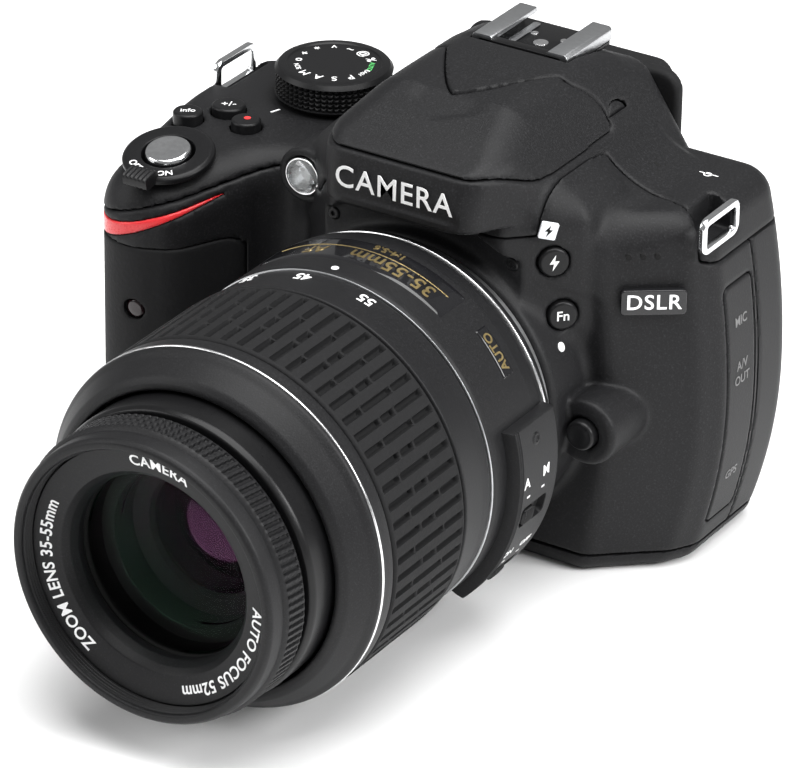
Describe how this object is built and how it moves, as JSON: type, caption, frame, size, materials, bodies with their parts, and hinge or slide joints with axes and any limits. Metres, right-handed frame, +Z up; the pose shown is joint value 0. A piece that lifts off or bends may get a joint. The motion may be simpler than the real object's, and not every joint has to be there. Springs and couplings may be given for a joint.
{
  "type": "dslr camera",
  "caption": "Compact digital SLR camera body with a grip, pop-up flash, controls and an attached standard zoom lens.",
  "frame": {"origin": "mouth of the tripod socket in the base, under the lens axis at the sensor plane", "axes": "+X to the right as seen from the front, +Y to the rear (the lens points to -Y), +Z up"},
  "size_m": [0.1227, 0.158, 0.0961],
  "materials": {
    "black_casing": "fine speckled matte",
    "black_rubber": "matte",
    "red_accent": "satin",
    "dark_frame": "matte",
    "steel": "brushed",
    "chrome": "polished",
    "brass_socket": "machined",
    "clear_window": "clear moulded",
    "optical_glass": "coated",
    "screen_black": "glossy",
    "board_green": "solder mask",
    "sensor": "coated",
    "button_black": "satin",
    "lens_black": "fine matte",
    "battery_grey": "matte",
    "mirror_silver": "front silvered"
  },
  "bodies": {
    "camera_body": {"front_cover": "black_casing", "top_cover": "black_casing", "rear_cover": "black_casing", "bottom_cover": "black_casing", "grip_rubber": "black_rubber", "grip_accent": "red_accent", "chassis": "dark_frame", "body_mount_ring": "steel", "screws": "steel", "hinge_pins": "steel", "hot_shoe": "steel", "front_windows": "clear_window", "strap_lugs": "chrome", "viewfinder_optics": "optical_glass", "tripod_socket": "brass_socket", "lcd_window": "screen_black", "image_sensor": "sensor", "main_board": "board_green", "shutter_unit": "dark_frame", "battery": "battery_grey"},
    "mirror": {"mirror": "mirror_silver"},
    "shutter_curtain": {"shutter_curtain": "dark_frame"},
    "flash_head": {"flash_head": "black_casing", "flash_window": "clear_window"},
    "mode_dial": {"mode_dial": "button_black"},
    "command_dial": {"command_dial": "button_black"},
    "power_switch": {"power_switch": "button_black"},
    "shutter_button": {"shutter_button": "chrome"},
    "record_button": {"record_button": "button_black"},
    "info_button": {"info_button": "button_black"},
    "exposure_button": {"exposure_button": "button_black"},
    "flash_button": {"flash_button": "button_black"},
    "fn_button": {"fn_button": "button_black"},
    "release_button": {"release_button": "button_black", "lock_pin": "steel"},
    "play_button": {"play_button": "button_black"},
    "menu_button": {"menu_button": "button_black"},
    "zoom_out_button": {"zoom_out_button": "button_black"},
    "zoom_in_button": {"zoom_in_button": "button_black"},
    "quick_button": {"quick_button": "button_black"},
    "ok_button": {"ok_button": "button_black"},
    "live_view_button": {"live_view_button": "button_black"},
    "delete_button": {"delete_button": "button_black"},
    "ael_button": {"ael_button": "button_black"},
    "multi_selector": {"multi_selector": "button_black"},
    "port_door": {"port_door": "black_casing"},
    "card_door": {"card_door": "black_casing"},
    "battery_door": {"battery_door": "black_casing"},
    "eyecup": {"eyecup": "black_rubber"},
    "lens": {"lens_barrel": "lens_black", "lens_mount": "steel", "rear_optics": "optical_glass"},
    "zoom_ring": {"zoom_ring": "lens_black", "zoom_grip": "black_rubber"},
    "inner_barrel": {"inner_barrel": "lens_black"},
    "focus_sleeve": {"focus_sleeve": "dark_frame"},
    "focus_ring": {"focus_ring": "lens_black", "front_element": "optical_glass"},
    "focus_switch": {"focus_switch": "button_black"},
    "stabiliser_switch": {"stabiliser_switch": "button_black"}
  },
  "joints": [
    {"name": "mirror_swing", "type": "hinge", "parent": "camera_body", "child": "mirror", "pos_m": [0, -0.009, 0.0505], "axis": [-1, 0, 0], "range_deg": [0, 45]},
    {"name": "shutter_travel", "type": "slide", "parent": "camera_body", "child": "shutter_curtain", "axis": [0, 0, -1], "range_m": [0, 0.0185]},
    {"name": "flash_lift", "type": "hinge", "parent": "camera_body", "child": "flash_head", "pos_m": [0, -0.004, 0.084], "axis": [-1, 0, 0], "range_deg": [0, 70]},
    {"name": "mode_dial_turn", "type": "hinge", "parent": "camera_body", "child": "mode_dial", "pos_m": [-0.044, -0.004, 0.073], "axis": [0, 0, 1], "continuous": true},
    {"name": "command_dial_turn", "type": "hinge", "parent": "camera_body", "child": "command_dial", "pos_m": [-0.051, 0.0046, 0.068], "axis": [0, 0, 1], "continuous": true},
    {"name": "power_switch_turn", "type": "hinge", "parent": "camera_body", "child": "power_switch", "pos_m": [-0.0574, -0.0424, 0.07058], "axis": [0, -0.2079, 0.9781], "range_deg": [0, 35]},
    {"name": "shutter_press", "type": "slide", "parent": "camera_body", "child": "shutter_button", "axis": [0, 0.2079, -0.9781], "range_m": [0, 0.0014], "stiffness_N_per_m": 300, "springref_m": -0.001},
    {"name": "record_press", "type": "slide", "parent": "camera_body", "child": "record_button", "axis": [0, 0, -1], "range_m": [0, 0.0006], "stiffness_N_per_m": 300, "springref_m": -0.001},
    {"name": "info_press", "type": "slide", "parent": "camera_body", "child": "info_button", "axis": [0, 0, -1], "range_m": [0, 0.0006], "stiffness_N_per_m": 300, "springref_m": -0.001},
    {"name": "exposure_press", "type": "slide", "parent": "camera_body", "child": "exposure_button", "axis": [0, 0, -1], "range_m": [0, 0.0006], "stiffness_N_per_m": 300, "springref_m": -0.001},
    {"name": "flash_press", "type": "slide", "parent": "camera_body", "child": "flash_button", "axis": [-0.7071, 0.7071, 0], "range_m": [0, 0.0006], "stiffness_N_per_m": 300, "springref_m": -0.001},
    {"name": "fn_press", "type": "slide", "parent": "camera_body", "child": "fn_button", "axis": [-0.7071, 0.7071, 0], "range_m": [0, 0.0006], "stiffness_N_per_m": 300, "springref_m": -0.001},
    {"name": "lens_release", "type": "slide", "parent": "camera_body", "child": "release_button", "axis": [0, 1, 0], "range_m": [0, 0.0018], "stiffness_N_per_m": 300, "springref_m": -0.001},
    {"name": "play_press", "type": "slide", "parent": "camera_body", "child": "play_button", "axis": [0, -1, 0], "range_m": [0, 0.0006], "stiffness_N_per_m": 300, "springref_m": -0.001},
    {"name": "menu_press", "type": "slide", "parent": "camera_body", "child": "menu_button", "axis": [0, -1, 0], "range_m": [0, 0.0006], "stiffness_N_per_m": 300, "springref_m": -0.001},
    {"name": "zoom_out_press", "type": "slide", "parent": "camera_body", "child": "zoom_out_button", "axis": [0, -1, 0], "range_m": [0, 0.0006], "stiffness_N_per_m": 300, "springref_m": -0.001},
    {"name": "zoom_in_press", "type": "slide", "parent": "camera_body", "child": "zoom_in_button", "axis": [0, -1, 0], "range_m": [0, 0.0006], "stiffness_N_per_m": 300, "springref_m": -0.001},
    {"name": "quick_press", "type": "slide", "parent": "camera_body", "child": "quick_button", "axis": [0, -1, 0], "range_m": [0, 0.0006], "stiffness_N_per_m": 300, "springref_m": -0.001},
    {"name": "ok_press", "type": "slide", "parent": "camera_body", "child": "ok_button", "axis": [0, -1, 0], "range_m": [0, 0.0006], "stiffness_N_per_m": 300, "springref_m": -0.001},
    {"name": "live_view_press", "type": "slide", "parent": "camera_body", "child": "live_view_button", "axis": [0, -1, 0], "range_m": [0, 0.0006], "stiffness_N_per_m": 300, "springref_m": -0.001},
    {"name": "delete_press", "type": "slide", "parent": "camera_body", "child": "delete_button", "axis": [0, -1, 0], "range_m": [0, 0.0006], "stiffness_N_per_m": 300, "springref_m": -0.001},
    {"name": "ael_press", "type": "slide", "parent": "camera_body", "child": "ael_button", "axis": [0, -1, 0], "range_m": [0, 0.0006], "stiffness_N_per_m": 300, "springref_m": -0.001},
    {"name": "selector_tilt", "type": "hinge", "parent": "camera_body", "child": "multi_selector", "pos_m": [-0.044, 0.0095, 0.04], "axis": [0, 0, 1], "range_deg": [-2.5, 2.5], "stiffness_Nm_per_rad": 0.02},
    {"name": "port_door_swing", "type": "hinge", "parent": "camera_body", "child": "port_door", "pos_m": [0.052, -0.0126, 0.0345], "axis": [0, 0, -1], "range_deg": [0, 110]},
    {"name": "card_door_swing", "type": "hinge", "parent": "camera_body", "child": "card_door", "pos_m": [-0.0684, 0, 0.039], "axis": [0, 0, -1], "range_deg": [0, 100]},
    {"name": "battery_door_swing", "type": "hinge", "parent": "camera_body", "child": "battery_door", "pos_m": [-0.0486, -0.029, 0.0011], "axis": [0, -1, 0], "range_deg": [0, 100]},
    {"name": "eyecup_slide", "type": "slide", "parent": "camera_body", "child": "eyecup", "axis": [0, 0, 1], "range_m": [0, 0.018]},
    {"name": "lens_twist", "type": "hinge", "parent": "camera_body", "child": "lens", "pos_m": [0, -0.0465, 0.038], "axis": [0, 1, 0], "range_deg": [0, 60]},
    {"name": "zoom_turn", "type": "hinge", "parent": "lens", "child": "zoom_ring", "pos_m": [0, -0.09, 0.038], "axis": [0, -1, 0], "range_deg": [-8, 67]},
    {"name": "zoom_extend", "type": "slide", "parent": "lens", "child": "inner_barrel", "axis": [0, -1, 0], "range_m": [-0.0011, 0.0086]},
    {"name": "focus_extend", "type": "slide", "parent": "inner_barrel", "child": "focus_sleeve", "axis": [0, -1, 0], "range_m": [0, 0.0041]},
    {"name": "focus_turn", "type": "hinge", "parent": "focus_sleeve", "child": "focus_ring", "pos_m": [0, -0.128, 0.038], "axis": [0, -1, 0], "range_deg": [0, 90]},
    {"name": "focus_mode_slide", "type": "slide", "parent": "lens", "child": "focus_switch", "axis": [0, 1, 0], "range_m": [0, 0.004]},
    {"name": "stabiliser_slide", "type": "slide", "parent": "lens", "child": "stabiliser_switch", "axis": [0, 1, 0], "range_m": [0, 0.004]}
  ],
  "couplings": [
    {"joint": "zoom_extend", "follows": "zoom_turn", "m_per_rad": 0.0072},
    {"joint": "focus_extend", "follows": "focus_turn", "m_per_rad": 0.0025}
  ]
}
